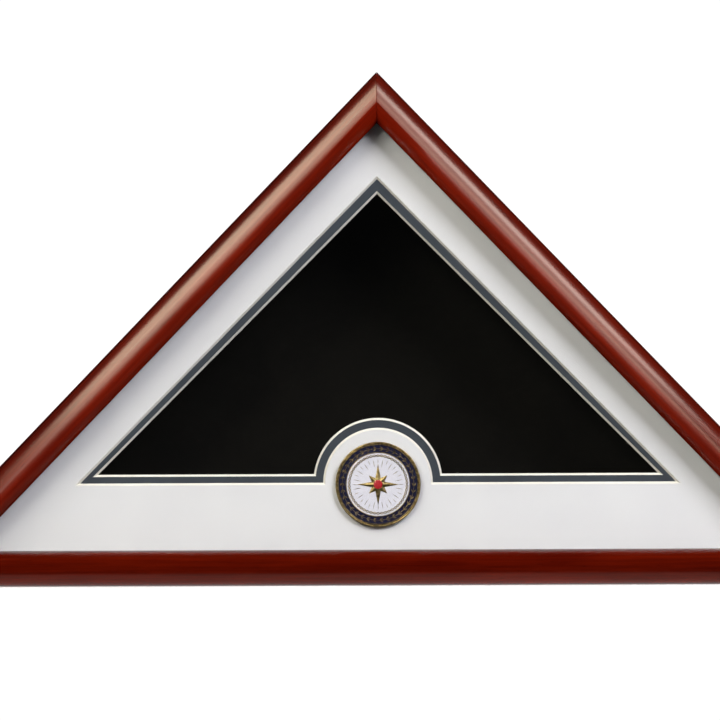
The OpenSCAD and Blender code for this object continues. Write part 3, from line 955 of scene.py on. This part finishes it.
def strap_path(lift):
    """Middle line (x, y) of the folded strip: flat, round the bar, then down and flat on top. The way down
    is a cubic curve whose two middle points pull it clear of the loop."""
    under = np.stack([np.linspace(-STRAP_END, LOOP_FOOT, 40), np.full(40, STRIP_T / 2)], -1)
    over = np.stack([np.linspace(FOLD_AT, -STRAP_END, 40), np.full(40, STRIP_T * 1.5)], -1)
    turn = np.radians(np.linspace(-95, 150, 40))
    loop = np.stack([LOOP_R * np.cos(turn), lift + LOOP_R * np.sin(turn)], -1)
    start, end = loop[-1], over[0]
    pull_a, pull_b = start + (-0.5 * MM, -0.9 * MM), end + (1.5 * MM, 0)
    s = np.linspace(0, 1, 16)[1:-1, None]
    down = (1 - s) ** 3 * start + 3 * (1 - s) ** 2 * s * pull_a + 3 * (1 - s) * s ** 2 * pull_b + s ** 3 * end
    return np.concatenate([under, loop, down, over])


def strap_shell(origin, along, beside, lift):
    """Carries a flat section along the path: corners at plus and minus half the width and thickness, each
    cut off by the softness."""
    path = strap_path(lift)
    normal = -beside_path(np.gradient(path, axis=0))
    past = np.clip(-path[:, 0] - (STRAP_END - STRAP_HALF), 0, STRAP_HALF * 0.999)
    half = np.sqrt(STRAP_HALF ** 2 - past ** 2)
    side_sign, face_sign, side_soft, face_soft = STRAP_CORNERS.T
    side = side_sign * half[:, None] + side_soft * STRAP_SOFT
    off = face_sign * STRIP_T / 2 + face_soft * STRAP_SOFT
    x, y = np.moveaxis(path[:, None] + normal[:, None] * off[:, None], -1, 0)
    return rod(upright(plan(origin, along, beside, x, side), rear + y))


# %% [markdown]
# ## Rings
# The ring is round wire bent to a D: bar, two tight bends, two short sides and a half circle.

# %% Rings
RING_R, RING_BEND, RING_SIDE, RING_W = 0.9 * MM, 1.5 * MM, 2.9 * MM, 7.1 * MM
RING_REST, SCREW_DOWN = math.radians(5), 18 * MM


def ring_path():
    """D outline (x, across): the bar, a bend, a half circle that starts at the side's end, and a bend."""
    bend = np.linspace(0, math.pi / 2, 9)
    arc = np.linspace(math.pi / 2, 3 * math.pi / 2, 49)
    inner = RING_W - RING_BEND
    bar = np.stack([np.zeros(8), np.linspace(-inner, inner, 9)[:-1]], -1)
    near = np.stack([-RING_BEND + RING_BEND * np.cos(bend), inner + RING_BEND * np.sin(bend)], -1)
    round_end = np.stack([-RING_SIDE + RING_W * np.cos(arc), RING_W * np.sin(arc)], -1)
    far = np.stack([-RING_BEND + RING_BEND * np.sin(bend), -inner - RING_BEND * np.cos(bend)], -1)
    return np.concatenate([bar, near, round_end, far[:-1]])


def ring_shell(origin, along, beside, y):
    """Round wire along the D: its section stands on the path's side direction and on the ring's own normal.
    The ring leans by its angle at rest."""
    path = ring_path()
    side = beside_path(np.roll(path, -1, 0) - np.roll(path, 1, 0))
    turn = full_turn(16)
    x, w = np.moveaxis(path[:, None] + RING_R * np.cos(turn)[:, None] * side[:, None], -1, 0)
    up = RING_R * np.sin(turn)
    leaning = x * math.cos(RING_REST) + up * math.sin(RING_REST)
    up = up * math.cos(RING_REST) - x * math.sin(RING_REST)
    return hoop(upright(plan(origin, along, beside, leaning, w), y + up))


screw_places = []
for name, upwards in (("left", 1), ("right", -1)):
    node, side = f"hanger_ring_{name}", SIDES[name]
    x, y, z = joints[node]["pos_m"]
    origin, up_rail = np.array([x, z]), side.along * upwards
    make_piece(f"strap_{name}", strap_shell(origin, up_rail, side.inward, y - rear), zinc_plate,
               f"hanger_strap_{name}", sharp=50)
    make_piece(f"ring_{name}", ring_shell(origin, up_rail, side.inward, y), zinc_plate, node, body=node,
               sharp=60)
    screw_places.append((origin - SCREW_DOWN * up_rail, up_rail))
screws("strap_screws", "hanger_screws", screw_places, rear + 2 * STRIP_T, zinc_plate)

# %% [markdown]
# ## Corner nails
# V nails are strips of steel pressed into the mitres from behind, flush with the wood. Only their edges
# show, and the frame's solid already has that shape, so it stays and takes the zinc finish.

# %% Corner nails
for place in frame["nodes"]["corner_v_nails"].material_slots:
    place.material = zinc_plate
print("corner nails keep their solid")

# %% [markdown]
# ## Floor and surroundings
# The case is shown on white with nothing around it, so the floor and the room are an even glow that only the
# camera sees. A pale paper card under the case takes the real light and the soft contact shadow. The lacquer
# mirrors a dimmer sheet in the same place, because a white card would wash out the bottom rail's stain.

# %% Stage helpers


def stage_mesh(name, points, faces, material, rays):
    """Adds a mesh of the stage that only the named kinds of rays meet."""
    mesh = bpy.data.meshes.new(name)
    mesh.from_pydata(points, [], faces)
    mesh.materials.append(material)
    body = bpy.data.objects.new(name, mesh)
    bpy.context.scene.collection.objects.link(body)
    for kind in ("camera", "diffuse", "glossy", "transmission", "shadow"):
        setattr(body, "visible_" + kind, kind in rays)


def glow_material(name, strength, colour="#000000", rough=0.5):
    """Matt paper of a colour that also glows white by itself."""
    inputs = {"Base Color": colour, "Roughness": rough, "Specular IOR Level": 0.0,
              "Emission Color": "#ffffff", "Emission Strength": strength}
    return start_material(name, inputs)[0]


# %% [markdown]
# ## The stage
# The dome closes the room 12 m away. The three level sheets lie a fraction of a millimetre below the case,
# so that none of them touches it or another one.

# %% Stage
DOME_R, SHEET, SHEET_AHEAD = 12.0, 0.7, 0.012
white_glow = glow_material("white_glow", 1.05)
rise = np.linspace(-math.pi / 2, math.pi / 2, 33)[1:-1, None]
ring = full_turn(96)
globe = [np.cos(rise) * np.cos(ring), np.cos(rise) * np.sin(ring), np.sin(rise) * np.ones_like(ring)]
points, corners, sizes = domed(DOME_R * np.stack(globe, -1), (0, 0, -DOME_R), (0, 0, DOME_R))
dome_faces = [face.tolist() for face in np.split(corners, np.cumsum(sizes)[:-1])]
stage_mesh("dome", points.tolist(), dome_faces, white_glow, ("camera",))
for name, x, y0, y1, below, material, rays in (
        ("floor", 5, -5, 5, 0.4 * MM, white_glow, ("camera",)),
        ("card", SHEET, front - SHEET_AHEAD, rear + SHEET, 0.1 * MM,
         glow_material("card_paper", 0.3, "#f0f0f0", 0.9), ("camera", "diffuse", "shadow")),
        ("dim_sheet", SHEET, front - SHEET_AHEAD, rear + SHEET, 0.2 * MM,
         glow_material("dim_glow", 0.7), ("glossy",))):
    level = [(-x, y0, -below), (x, y0, -below), (x, y1, -below), (-x, y1, -below)]
    stage_mesh(name, level, [(0, 1, 2, 3)], material, rays)

room = bpy.data.worlds.new("dark studio")
bpy.context.scene.world = room
room.use_nodes = True
feed(room.node_tree.nodes["Background"], {"Color": "#ffffff", "Strength": 0.015})
print("stage: dome, floor, card and dim sheet")

# %% [markdown]
# ## Lamps
# Two soft boxes stand at the upper left and the upper right, well off the axis, so that neither shows in the
# glass and a deep shadow stays under the peak. Longer boxes on the same sides add nothing but sheen: two skip
# the glass and the bottom rail, and two dimmer ones reach only the slanted rails. A weaker box behind the
# case lights the back.

# %% Lamp helpers


def softbox(name, out, angle, long, wide, radiance, colour, away=8.0):
    """Lamp that stands off the case's front by an angle, towards a direction out in the plane of the glass.
    It spans the angle long in the plane of that lean and wide across it. Power is radiance * pi * area."""
    lamp = bpy.data.lights.new(name, "AREA")
    lamp.shape = "RECTANGLE"
    lamp.size = 2 * away * math.tan(math.radians(long / 2))
    lamp.size_y = 2 * away * math.tan(math.radians(wide / 2))
    lamp.energy = radiance * math.pi * lamp.size * lamp.size_y
    lamp.color = linear(colour)[:3]
    source = bpy.data.objects.new(name, lamp)
    bpy.context.scene.collection.objects.link(source)
    lean, forward = math.radians(angle), Vector((0, -1, 0))
    out = Vector(out).normalized()
    direction = forward * math.cos(lean) + out * math.sin(lean)
    length_axis = out * math.cos(lean) - forward * math.sin(lean)
    turn = Matrix((length_axis, direction.cross(length_axis), direction)).transposed()
    source.matrix_world = Matrix.Translation(Vector((0, 0, peak / 2)) + direction * away) @ turn.to_4x4()
    source.visible_camera = False
    return source


def receivers(name, pieces, state):
    """Collection that names the pieces a lamp reaches (INCLUDE) or misses (EXCLUDE)."""
    group = bpy.data.collections.new(name)
    for piece in pieces:
        group.objects.link(bpy.data.objects[piece])
    for entry in group.collection_objects:
        entry.light_linking.link_state = state
    return group


# %% [markdown]
# ## Placing the lamps
# Each lamp leans by an angle from the front towards one slanted rail's outer side. Key and fill stand close,
# so that the light falls off gently across the case; the others stand 8 m away.

# %% Lamps
up_left = (-math.sin(pitch), 0, math.cos(pitch))
up_right = (math.sin(pitch), 0, math.cos(pitch))
key = softbox("key", up_right, 47, 26, 26, 15.4, "#f9f9ff", away=2.5)
fill = softbox("fill", up_left, 48, 44, 16, 12.4, "#fffdf1", away=2.5)
key.visible_glossy = fill.visible_glossy = False
sheens = [softbox("key_sheen", up_right, 40, 26, 12, 20.0, "#fcfcff"),
          softbox("fill_sheen", up_left, 36, 48, 12, 16.5, "#fffaea"),
          softbox("key_soft_sheen", up_right, -2, 58, 12, 5.4, "#fcfcff"),
          softbox("fill_soft_sheen", up_left, 1, 42, 12, 7.5, "#fffaea")]
all_but_glass = receivers("all but glass", ("pane", "bottom_rail"), "EXCLUDE")
slanted_rails = receivers("slanted rails", ("left_rail", "right_rail"), "INCLUDE")
for source, group in zip(sheens, (all_but_glass, all_but_glass, slanted_rails, slanted_rails)):
    source.visible_diffuse = False
    source.light_linking.receiver_collection = group
softbox("rear", (0, 0, 1), 135, 30, 30, 6.0, "#ffffff")
print("lamps:", [lamp.name for lamp in bpy.data.lights])
